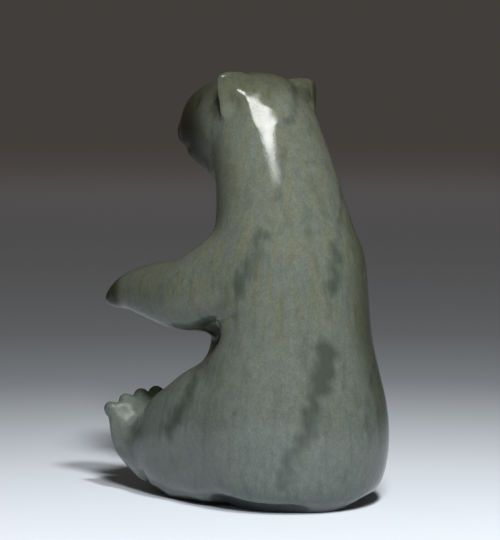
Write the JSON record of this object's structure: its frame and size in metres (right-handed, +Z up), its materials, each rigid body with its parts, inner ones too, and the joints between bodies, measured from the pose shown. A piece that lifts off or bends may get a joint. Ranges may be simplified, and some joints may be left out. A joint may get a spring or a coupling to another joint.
{
  "type": "carved bear figurine",
  "caption": "Sitting bear carved from one block of soapstone, upright on a flat base, forelegs held out in front, hind feet forward with the toes up.",
  "frame": {"origin": "bottom centre of the bounding box, on the floor under the bear", "axes": "+Z up, -Y the way the bear faces, +X the bear's own left"},
  "size_m": [0.065, 0.0838, 0.1261],
  "materials": {
    "soapstone": "polished grey-green soapstone with darker green veins"
  },
  "bodies": {
    "root": {"bear": "soapstone"}
  },
  "joints": []
}
